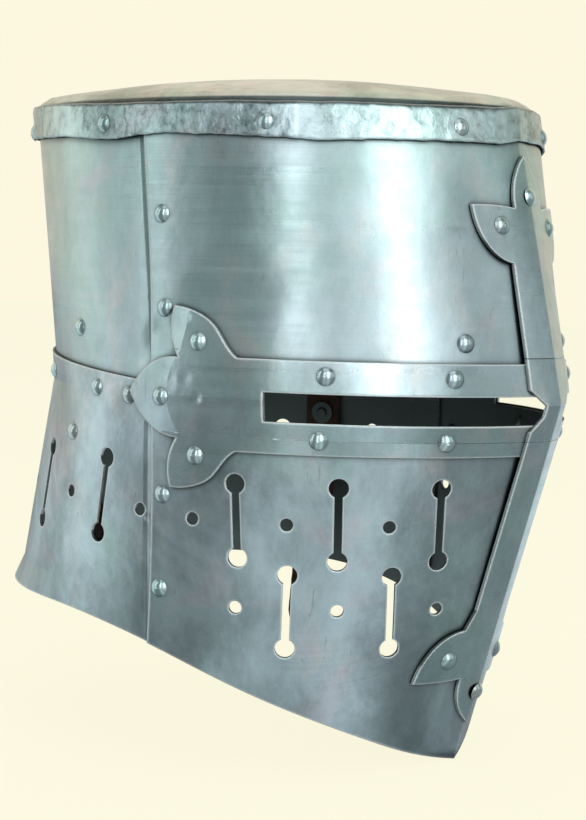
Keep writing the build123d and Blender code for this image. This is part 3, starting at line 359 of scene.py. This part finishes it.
class Graph:
    """A node tree that is built by calls."""

    def __init__(self, tree):
        self.tree = tree
        tree.nodes.clear()

    def add(self, kind, inputs=None, **settings):
        """Adds a node, with its settings and its inputs as values or as sockets."""
        made = self.tree.nodes.new(kind)
        for key, value in settings.items():
            setattr(made, key, value)
        for key, value in (inputs or {}).items():
            if isinstance(value, bpy.types.NodeSocket):
                self.tree.links.new(value, made.inputs[key])
            else:
                made.inputs[key].default_value = value
        return made

    def math(self, operation, first, second=0.5, third=0.0):
        return self.add(
            "ShaderNodeMath", {0: first, 1: second, 2: third}, operation=operation
        ).outputs[0]

    def product(self, first, second):
        return self.math("MULTIPLY", first, second)

    def rest_of(self, share):
        return self.math("SUBTRACT", 1.0, share)

    def vector_math(self, operation, first, second):
        """A vector, or a number where the operation gives one."""
        made = self.add("ShaderNodeVectorMath", {0: first, 1: second}, operation=operation)
        return made.outputs["Value" if operation in ("DOT_PRODUCT", "DISTANCE") else "Vector"]

    def place(self):
        """The place in the part's frame, in metres."""
        return self.add("ShaderNodeTexCoord").outputs["Object"]

    def normal(self):
        return self.add("ShaderNodeTexCoord").outputs["Normal"]

    def apart(self, vector):
        """A vector's x, y and z."""
        return self.add("ShaderNodeSeparateXYZ", {0: vector}).outputs

    def scaled(self, scale, place=None):
        """A place, in the part's frame unless given, multiplied by a scale for each axis."""
        return self.vector_math("MULTIPLY", place or self.place(), scale)

    def noise(self, scale, detail, roughness, distortion=0.0, place=None):
        """A noise pattern whose scale is given for each axis, in cycles a metre."""
        return self.add(
            "ShaderNodeTexNoise",
            {
                "Vector": self.scaled(scale, place),
                "Scale": 1.0,
                "Detail": detail,
                "Roughness": roughness,
                "Distortion": distortion,
            },
        ).outputs["Fac"]

    def ramp(self, value, low, high):
        """A value spread from 0 to 1 between two limits."""
        return self.add(
            "ShaderNodeMapRange",
            {"Value": value, "From Min": low, "From Max": high},
            interpolation_type="SMOOTHSTEP",
        ).outputs["Result"]

    def around_one(self, value, depth):
        """A factor of 1 that a value between 0 and 1 moves up and down by half a depth."""
        return self.math("MULTIPLY_ADD", value, depth, 1.0 - depth / 2)

    def mix(self, share, first, second):
        """A colour between two others. A mix node's colours are its inputs 6 and 7, and the
        colour that it gives is its output 2."""
        first, second = (
            colour if isinstance(colour, bpy.types.NodeSocket) else (*colour, 1.0)
            for colour in (first, second)
        )
        made = self.add("ShaderNodeMix", {0: share, 6: first, 7: second}, data_type="RGBA")
        return made.outputs[2]

    def mirrored(self):
        """The place in the part's frame, with the left side folded over the right."""
        x, y, z = self.apart(self.place())
        right = self.product(self.math("ABSOLUTE", x), -1.0)
        return self.add("ShaderNodeCombineXYZ", {0: right, 1: y, 2: z}).outputs[0]

    def dimples(self, places):
        """Hollows in a surface, each with its place, its radius and its depth in metres."""
        place = self.place()
        total = 0.0
        for centre, radius, depth in places:
            away = self.vector_math("DISTANCE", place, centre)
            total = self.math("ADD", total, self.product(self.ramp(away, 0.0, radius), depth))
        return total

    def grooves(self, lines):
        """Hollows along lines on both sides, each with its ends, its half width and its depth."""
        place = self.mirrored()
        total = 0.0
        for start, end, radius, depth in lines:
            line = Vector(end) - Vector(start)
            offset = self.vector_math("SUBTRACT", place, start)
            along = self.vector_math("DOT_PRODUCT", offset, tuple(line / line.length_squared))
            along = self.math("MINIMUM", self.math("MAXIMUM", along, 0.0), 1.0)
            near = self.add(
                "ShaderNodeVectorMath", {0: tuple(line), "Scale": along}, operation="SCALE"
            ).outputs[0]
            away = self.vector_math("DISTANCE", offset, near)
            total = self.math("ADD", total, self.product(self.ramp(away, 0.0, radius), depth))
        return total

    def leaf_facets(self):
        """How far the flats on the arms' middle and upper leaves fall away, in metres."""
        y, z = self.apart(self.mirrored())[1:]
        rise = self.math("SUBTRACT", z, leaf_round[1])
        reach = self.math("SUBTRACT", y, leaf_round[0])
        away = self.math("MULTIPLY_ADD", rise, rise, self.product(reach, reach))
        away = self.math("SUBTRACT", self.math("SQRT", away), leaf_round[2])
        in_middle = self.ramp(self.math("ABSOLUTE", rise), *leaf_round_end)
        middle = self.product(self.math("MAXIMUM", away, 0.0), in_middle)
        side = self.product(self.math("SUBTRACT", y, leaf_crease[0]), leaf_crease_across[0])
        past = self.math("SUBTRACT", z, leaf_crease[1])
        side = self.math("MULTIPLY_ADD", past, leaf_crease_across[1], side)
        in_upper = self.ramp(rise, *leaf_crease_start)
        upper = self.product(self.math("MAXIMUM", side, 0.0), in_upper)
        return self.product(self.math("ADD", middle, upper), -leaf_slope)

    def bump(self, height, distance, normal=None):
        """The normal of a surface that a height lifts, multiplied by a distance in metres."""
        inputs = {"Height": height, "Distance": distance, "Strength": 1.0}
        if normal is not None:
            inputs["Normal"] = normal
        return self.add("ShaderNodeBump", inputs).outputs[0]

    def finish(self, shader, output="ShaderNodeOutputMaterial"):
        """Ends the tree with a shader."""
        self.add(output, {"Surface": shader.outputs[0]})


def new_material(name):
    """A material, and its node tree to be built."""
    material = bpy.data.materials.new(name)
    material.use_nodes = True
    return material, Graph(material.node_tree)


def add_object(name, data):
    made = bpy.data.objects.new(name, data)
    bpy.context.scene.collection.objects.link(made)
    return made


def shade_smooth(mesh):
    mesh.polygons.foreach_set("use_smooth", [True] * len(mesh.polygons))


def make_camera():
    """The photograph's view."""
    data = bpy.data.cameras.new("camera")
    camera = add_object("camera", data)
    data.sensor_width = sensor_width
    data.lens = lens
    data.shift_x = lens_shift
    turn = camera_forward.to_track_quat("-Z", "Y").to_matrix().to_4x4()
    roll = Matrix.Rotation(math.radians(camera_roll), 4, "Z")
    camera.matrix_world = Matrix.Translation(camera_place) @ turn @ roll
    bpy.context.scene.camera = camera


def make_world():
    """A pale backdrop behind the helm, and a dim even studio around it."""
    world = bpy.data.worlds.new("studio")
    bpy.context.scene.world = world
    world.use_nodes = True
    g = Graph(world.node_tree)
    direction = g.add("ShaderNodeTexCoord").outputs["Generated"]
    behind = g.vector_math("DOT_PRODUCT", direction, backdrop_way)
    studio = g.mix(g.ramp(behind, *backdrop_spread), studio_grey, backdrop_beige)
    camera_ray = g.add("ShaderNodeLightPath").outputs["Is Camera Ray"]
    colour = g.mix(camera_ray, studio, backdrop_cream)
    backdrop = g.add("ShaderNodeBackground", {"Color": colour, "Strength": 1.0})
    g.finish(backdrop, "ShaderNodeOutputWorld")


def make_lamp(name, azimuth, elevation, distance, width, height, radiance):
    """A soft box that faces the helm's middle and that the camera doesn't see."""
    data = bpy.data.lights.new(name, "AREA")
    data.shape = "RECTANGLE"
    data.size = width
    data.size_y = height
    data.energy = radiance * math.pi * width * height
    light = add_object(name, data)
    around, up = math.radians(azimuth), math.radians(elevation)
    level = math.cos(up)
    way = Vector((math.sin(around) * level, -math.cos(around) * level, math.sin(up)))
    light.location = way * distance + lamp_centre
    light.rotation_euler = (-way).to_track_quat("-Z", "Y").to_euler()
    light.visible_camera = False


def make_floor():
    """A pale floor under the helm, whose reflection in the steel is brighter in some places."""
    mesh = bpy.data.meshes.new("floor")
    signs = ((-1, -1), (1, -1), (1, 1), (-1, 1))
    corners = [(x * floor_half_side, y * floor_half_side, 0) for x, y in signs]
    mesh.from_pydata(corners, [], [(0, 1, 2, 3)])
    floor = add_object("floor", mesh)
    floor.location.z = -floor_drop
    material, g = new_material("floor")
    x, y, _ = g.apart(g.place())
    turn = g.math("ARCTAN2", x, g.product(y, -1.0))
    glow = floor_glow
    for azimuth, spread, strength in floor_glows:
        off = g.math("ABSOLUTE", g.math("SUBTRACT", turn, math.radians(azimuth)))
        glow = g.math("MULTIPLY_ADD", g.ramp(off, math.radians(spread), 0.0), strength, glow)
    light_path = g.add("ShaderNodeLightPath").outputs
    camera_ray = light_path["Is Camera Ray"]
    strength = g.math("ADD", g.product(glow, g.rest_of(camera_ray)), camera_ray)
    colour = g.mix(camera_ray, floor_grey, floor_cream)
    seen = g.add("ShaderNodeEmission", {"Color": colour, "Strength": strength})
    colour = g.mix(camera_ray, floor_grey, floor_pale)
    lit = g.add("ShaderNodeBsdfDiffuse", {"Color": colour})
    share = g.product(camera_ray, glow_to_camera)
    share = g.math("MULTIPLY_ADD", light_path["Is Glossy Ray"], glow_in_reflections, share)
    g.finish(g.add("ShaderNodeMixShader", {0: share, 1: lit.outputs[0], 2: seen.outputs[0]}))
    mesh.materials.append(material)


def outward_share(g):
    """How far a face looks away from the middle of the shell: below 0 on its inside."""
    away = g.vector_math("SUBTRACT", g.place(), shell_middle)
    away = g.add("ShaderNodeVectorMath", {0: away}, operation="NORMALIZE").outputs[0]
    return g.vector_math("DOT_PRODUCT", away, g.normal())


def crown_colours(g, colour, cloud):
    """The crown's colours: dark scale on its flange, a warm tint on the dome that is a painted
    reflection of the backdrop, and a painted shadow line on its lip."""
    high = g.apart(g.place())["Z"]
    up = g.apart(g.normal())["Z"]
    # Painted reflection: the dome tinted warm like the cream backdrop it reflects
    dome_reflection = g.vector_math("MULTIPLY", colour, dome_reflection_tint)
    on_dome = g.ramp(high, *dome_start)
    scale = g.ramp(g.noise(*scale_pattern), *scale_spread)
    scale = g.product(scale, g.ramp(cloud, *scaled_spread))
    scale = g.product(scale, g.rest_of(on_dome))
    colour = g.mix(g.product(scale, scale_cover), colour, steel_scale)
    colour = g.mix(on_dome, colour, dome_reflection)
    # Painted shadow: a dark line on the lip's upward faces, where the dome meets it
    lip_shade = g.product(g.ramp(up, *lip_shade_lean), g.ramp(high, *lip_shade_end))
    return g.mix(g.product(lip_shade, lip_shade_cover), colour, steel_painted_shade)


def steel(
    name, tint, roughness, brushed, mottle, dents=1.0, pits=0.0, edge=0.0018, slant=0.0,
    blue=0.0, painted_shade_strength=1.0, dimples=(), grooves=(), crown=False, facets=False,
):
    """Ground and brushed sheet steel: patches of tint, brush lines, uneven hammering, edges worn
    bright with a painted highlight, painted shade in corners and under edges, and a dark
    forge skin with painted shade on its inside."""
    material, g = new_material(name)
    turned = g.add(
        "ShaderNodeVectorRotate", {"Vector": g.place(), "Angle": slant, "Axis": brush_axis}
    ).outputs[0]
    streaks = g.noise(*streak_pattern, place=turned)
    long_streaks = g.noise(*long_streak_pattern, place=turned)
    patches = g.noise(*patch_pattern)
    blotches = g.noise(*blotch_pattern)
    stains = g.noise(*stain_pattern)
    cloud = g.ramp(g.noise(*cloud_pattern), *cloud_spread)
    ground = g.ramp(g.noise(*ground_pattern), *ground_spread)
    scuffs = g.ramp(g.noise(*scuff_pattern), *scuff_spread)
    scuffs = g.product(scuffs, g.ramp(blotches, *scuffed_spread))

    # The worn edges: wear and a painted highlight along every edge, found by the rounded normal
    rounded = g.add("ShaderNodeBevel", {"Radius": edge}, samples=edge_samples).outputs[0]
    flat = g.add("ShaderNodeNewGeometry").outputs["Normal"]
    wear_and_highlight = g.ramp(g.vector_math("DOT_PRODUCT", rounded, flat), *wear_and_highlight_spread)
    # Painted shade: darker in corners, under edges and round rivets, by how shut in a place is
    shut_in = g.add(
        "ShaderNodeAmbientOcclusion", {"Distance": corner_reach}, samples=corner_samples
    ).outputs["AO"]
    corner_shade = g.ramp(shut_in, *corner_shade_spread)
    shadow = g.ramp(shut_in, *shadow_spread)
    # The dark inside: forge skin and painted shade
    inside = g.ramp(outward_share(g), *inside_spread)

    shade = g.mix(ground, unchanged, g.around_one(streaks, streak_shade * brushed))
    shade = g.product(g.around_one(g.noise(*grain_pattern), grain_shade), shade)
    shade = g.product(g.around_one(cloud, cloud_shade * mottle), shade)
    shade = g.product(g.math("MULTIPLY_ADD", scuffs, -scuff_shade, 1.0), shade)
    shade = g.product(shade, tint)
    colour = g.mix(g.ramp(patches, *patch_spread), steel_cool, steel_blue)
    colour = g.mix(blue, colour, steel_slate)
    colour = g.mix(g.ramp(blotches, *blotch_spread), colour, steel_warm)
    colour = g.mix(g.product(g.ramp(stains, *pink_spread), stain_cover), colour, steel_pink)
    colour = g.mix(g.product(g.ramp(stains, *green_spread), stain_cover), colour, steel_green)
    colour = g.vector_math("MULTIPLY", colour, shade)
    if crown:
        colour = crown_colours(g, colour, cloud)
    # Painted shade and the worn edges' painted highlight laid over the steel's colour
    colour = g.mix(g.product(shadow, shadow_cover * painted_shade_strength), colour, steel_painted_shade)
    colour = g.mix(g.product(wear_and_highlight, wear_and_highlight_cover), colour, steel_wear_and_highlight)
    colour = g.mix(g.product(corner_shade, corner_shade_cover * painted_shade_strength), colour, steel_painted_shade)
    colour = g.mix(inside, colour, steel_skin_and_shade)

    middling = roughness - streak_roughness / 2
    gloss = g.math("MULTIPLY_ADD", long_streaks, streak_roughness, middling)
    gloss = g.math("MULTIPLY_ADD", inside, skin_roughness, gloss)
    gloss = g.math("MULTIPLY_ADD", wear_and_highlight, worn_roughness, gloss)
    metal = g.product(wear_and_highlight, g.rest_of(inside))
    metal = g.math("MULTIPLY_ADD", metal, -worn_dullness, 1.0)

    heights = []
    if dimples:
        heights.append((g.dimples(dimples), 1.0))
    if grooves:
        heights.append((g.grooves(grooves), 1.0))
    if facets:
        heights.append((g.leaf_facets(), 1.0))
    heights.append((g.noise(*undulation_pattern), undulation_depth * dents))
    heights.append((g.noise(*hammer_pattern), hammer_depth * dents))
    heights.append((streaks, streak_depth * brushed))
    heights.append((g.noise(*peen_pattern), peen_depth * dents))
    if pits:
        heights.append((g.noise(*pit_pattern), pit_depth * pits))
    normal = rounded
    for height, depth in heights:
        normal = g.bump(height, depth, normal)
    look = {"Base Color": colour, "Metallic": metal, "Roughness": gloss, "Normal": normal}
    g.finish(g.add("ShaderNodeBsdfPrincipled", look))
    return material


def leather(name, colour, dark, roughness):
    """Leather with a fine grain, creases and worn patches."""
    material, g = new_material(name)
    pores = g.add(
        "ShaderNodeTexVoronoi", {"Vector": g.scaled(pore_scale), "Scale": 1.0}, feature="SMOOTH_F1"
    ).outputs["Distance"]
    paint = g.mix(g.ramp(g.noise(*wear_pattern), *wear_spread), dark, colour)
    normal = g.bump(g.noise(*crease_pattern), crease_depth)
    normal = g.bump(pores, pore_depth, normal)
    look = {"Base Color": paint, "Roughness": roughness, "Normal": normal}
    g.finish(g.add("ShaderNodeBsdfPrincipled", look))
    return material


def crown_curve(front, back, half, share):
    """A point of the outline, on the left, from the ridge at 0 to the back at 2."""
    handle = quarter_handle * half
    if share <= 1.0:
        bow = handle * math.cos(crown_ridge_angle)
        keel = handle * math.sin(crown_ridge_angle)
        points = ((0, -front), (bow, -front + keel), (half, -quarter_handle * front), (half, 0))
        t = share
    else:
        points = ((half, 0), (half, quarter_handle * back), (handle, back), (0, back))
        t = share - 1.0
    weights = ((1 - t) ** 3, 3 * (1 - t) ** 2 * t, 3 * (1 - t) * t * t, t**3)
    return (
        sum(w * p[0] for w, p in zip(weights, points)),
        sum(w * p[1] for w, p in zip(weights, points)),
    )


def crown_outline(turn, height):
    """A place on the flange's face, and its outward direction, at an angle from the front."""
    rise = (height - rim_height) / knee_drop
    front = rim_front + flange_stand - (knee_front - rim_front) * rise
    back = rim_back - (knee_back - rim_back) * rise
    half = rim_half_width + flange_stand - (knee_half_width - rim_half_width) * rise
    side = -1 if turn > 0 else 1
    goal = abs(turn)
    low, high = 0.0, 2.0
    for _ in range(outline_rounds):
        middle = (low + high) / 2
        x, y = crown_curve(front, back, half, middle)
        if math.atan2(x, -y) < goal:
            low = middle
        else:
            high = middle
    x, y = crown_curve(front, back, half, low)
    ahead = crown_curve(front, back, half, min(low + outline_step, 2.0))
    behind = crown_curve(front, back, half, max(low - outline_step, 0.0))
    along = Vector((ahead[0] - behind[0], ahead[1] - behind[1]))
    along.normalize()
    return Vector((side * x, y + crown_axis)), Vector((side * along.y, -along.x))


def crown_wave(degrees):
    """The rise of the rim and of the lower edge at an angle, in metres."""
    for start, end in zip(crown_waves, crown_waves[1:]):
        if degrees <= end[0]:
            break
    share = (degrees - start[0]) / (end[0] - start[0])
    share = share * share * (3 - 2 * share)
    return tuple(millimetre * (a + (b - a) * share) for a, b in zip(start[1:], end[1:]))


def marks(layers, spot):
    """The height of layers of hammer marks at a place."""
    return sum(depth * noise.noise(spot * cycles) for depth, cycles in layers)


def waves(layer, place):
    """The height of a wave at a place of the outline."""
    depth, level, cycles = layer
    return depth * noise.noise(Vector((place.x, place.y, level)) * cycles)


def flange_column(degrees):
    """The flange and the lip at an angle, from the lower edge up."""
    lift, wave = crown_wave(degrees)
    past = degrees - lap_start
    lap = lap_height * (1 - past / lap_run) ** lap_fall if 0 < past < lap_run else 0.0
    foot = rim_height - flange_height + lift + wave
    top = rim_height + lift + millimetre * crown_lip[0][1]
    rows = [(inset, foot + millimetre * rise) for inset, rise in flange_foot]
    for step in range(1, flange_steps):
        share = step / flange_steps
        rows.append((0.0, foot + foot_height + (top - foot - foot_height) * share))
    rows += [(inset, rim_height + lift + millimetre * rise) for inset, rise in crown_lip]
    column = []
    for row, (inset, height) in enumerate(rows):
        place, outward = crown_outline(math.radians(degrees), min(height, rim_height))
        hammer = 0.0
        if row >= hammered_row:
            hammer = marks(hammer_marks, Vector((place.x, place.y, height)))
        if row >= weaker_hammer_row:
            hammer *= hammer_left
        lapped = lap * (1.0 if row < lower_lap_row else lap_left)
        place = place + outward * (lapped + hammer - millimetre * inset)
        uneven = waves(row_waves, place)
        if row < ragged_rows:
            uneven += waves(foot_waves, place)
        column.append((place.x, place.y, height + uneven))
    return column


def dome_column(degrees, edge):
    """The dome at an angle, from its edge inward."""
    lift = crown_wave(degrees)[0]
    column = []
    for share in dome_rings:
        reach = share / dome_edge
        height = rim_height + dome_rise * (1 - share**2) ** dome_power
        near = max(0.0, min(1.0, (dome_edge - share) / rise_fade))
        height += lift * (1 - near) ** 2
        y = crown_axis + (edge[1] - crown_axis) * reach
        spot = Vector((edge[0] * reach, y, height))
        column.append((spot.x, spot.y, height + marks(dome_marks, spot)))
    return column


def make_crown(material):
    """The hammered crown plate: a turned-down flange with an uneven edge, and a low dome."""
    columns = []
    for index in range(crown_columns):
        degrees = -180 + 360 * index / crown_columns
        column = flange_column(degrees)
        columns.append(column + dome_column(degrees, column[-1]))
    rows = len(columns[0])
    vertices = [place for column in columns for place in column]
    middle = len(vertices)
    vertices.append((0.0, crown_axis, rim_height + dome_rise))
    starts = [index * rows for index in range(crown_columns)]
    neighbours = list(zip(starts, starts[1:] + starts[:1]))
    faces = [
        (here + row, here + row + 1, after + row + 1, after + row)
        for here, after in neighbours for row in range(rows - 1)
    ]
    faces += [(here + rows - 1, middle, after + rows - 1) for here, after in neighbours]
    mesh = bpy.data.meshes.new("crown")
    mesh.from_pydata(vertices, [], faces)
    shade_smooth(mesh)
    crown = add_object("crown", mesh)
    shell = crown.modifiers.new("thickness", "SOLIDIFY")
    shell.thickness = crown_thickness
    shell.offset = -1.0
    mesh.materials.append(material)
    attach(crown, "helm")
    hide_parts("crown_plate")


def soft_copy(name, sources, material, cell, ripple):
    """A leather piece in the shape of CAD solids, with rounded edges and a slight ripple."""
    joined = bpy.data.meshes.new(name)
    vertices, faces = [], []
    for source in sources:
        mesh = nodes[source].data
        start = len(vertices)
        vertices += [tuple(vertex.co) for vertex in mesh.vertices]
        faces += [tuple(start + index for index in face.vertices) for face in mesh.polygons]
    joined.from_pydata(vertices, [], faces)
    piece = add_object(name, joined)
    remesh = piece.modifiers.new("remesh", "REMESH")
    remesh.mode = "VOXEL"
    remesh.voxel_size = cell
    smooth = piece.modifiers.new("smooth", "SMOOTH")
    smooth.factor = smoothing
    smooth.iterations = smoothing_rounds
    graph = bpy.context.evaluated_depsgraph_get()
    worked = bpy.data.meshes.new_from_object(piece.evaluated_get(graph))
    piece.modifiers.clear()
    piece.data = worked
    bpy.data.meshes.remove(joined)
    for vertex in worked.vertices:
        spot = vertex.co
        push = noise.noise(spot * long_ripple) + short_share * noise.noise(spot * short_ripple)
        sideways = noise.noise(spot * long_ripple + sideways_shift)
        vertex.co = spot + Vector((sideways, push, upward_share * push)) * ripple
    shade_smooth(worked)
    worked.materials.clear()
    worked.materials.append(material)
    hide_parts(*sources)
    return piece


def make_liner(liner, strap):
    """The headband, the tongues and the lace."""
    rows = [("headband", "liner_headband", liner, "liner_leather", liner_cell, headband_ripple)]
    for index in tongues:
        rows.append((
            f"tongue_{index}", f"liner_tongue_{index}", liner, "liner_leather", liner_cell,
            tongue_ripple,
        ))
    rows.append(("lace", "liner_lace", strap, "lace_leather", lace_cell, lace_ripple))
    for name, source, material, slot, cell, ripple in rows:
        piece = soft_copy(name, [source], material, cell, ripple)
        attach(piece, "helm")


def make_straps(material):
    """Both chin straps, each joined in one piece with its tab."""
    for side, sign, name in (("left", 1, "long_strap"), ("right", -1, "short_strap")):
        sources = [f"strap_anchor_{side}", f"chin_strap_{side}"]
        piece = soft_copy(
            f"{name}_leather", sources, material, strap_cell, strap_ripple
        )
        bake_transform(piece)


def dress(names, material):
    """Gives CAD nodes their material."""
    for name in names:
        slots = nodes[name].data.materials
        slots.clear()
        slots.append(material)


bpy.context.scene.view_settings.view_transform = "Standard"
make_camera()
make_world()
for settings in lamps:
    make_lamp(*settings)
make_floor()

plate_steel = steel(
    "plate_steel", tint=1.0, roughness=0.30, brushed=0.85, mottle=0.45,
    dimples=plate_dimples, grooves=plate_grooves,
)
face_steel = steel(
    "face_steel", tint=0.97, roughness=0.33, brushed=0.8, mottle=1.0, dents=1.6, slant=-0.85,
    blue=0.6, dimples=face_dimples, grooves=face_grooves,
)
crown_steel = steel(
    "crown_steel", tint=1.08, roughness=0.32, brushed=0.2, mottle=1.1, dents=0.6, pits=1.2,
    crown=True,
)
bar_steel = steel(
    "bar_steel", tint=1.0, roughness=0.28, brushed=0.3, mottle=0.6, dents=1.2,
    dimples=bar_dimples, facets=True,
)
rivet_steel = steel(
    "rivet_steel", tint=1.15, roughness=0.24, brushed=0.0, mottle=0.4, dents=0.3, edge=0.0003,
    # Stronger painted shade round the rivets' feet
    painted_shade_strength=1.5,
)
liner_leather = leather("liner_leather", liner_brown, liner_dark, roughness=0.62)
strap_leather = leather("strap_leather", strap_brown, strap_dark, roughness=0.5)

dress(["skull_front_plate", "skull_back_plate"], plate_steel)
dress(["face_plate", "nape_plate"], face_steel)
make_crown(crown_steel)
dress(["cross_arm_right", "cross_arm_left", "cross_upright"], bar_steel)
dress([name for name in nodes if "rivet" in name or "washer" in name], rivet_steel)
make_liner(liner_leather, strap_leather)
make_straps(strap_leather)
dress(["chin_buckle_frame", "chin_buckle_prong"], rivet_steel)
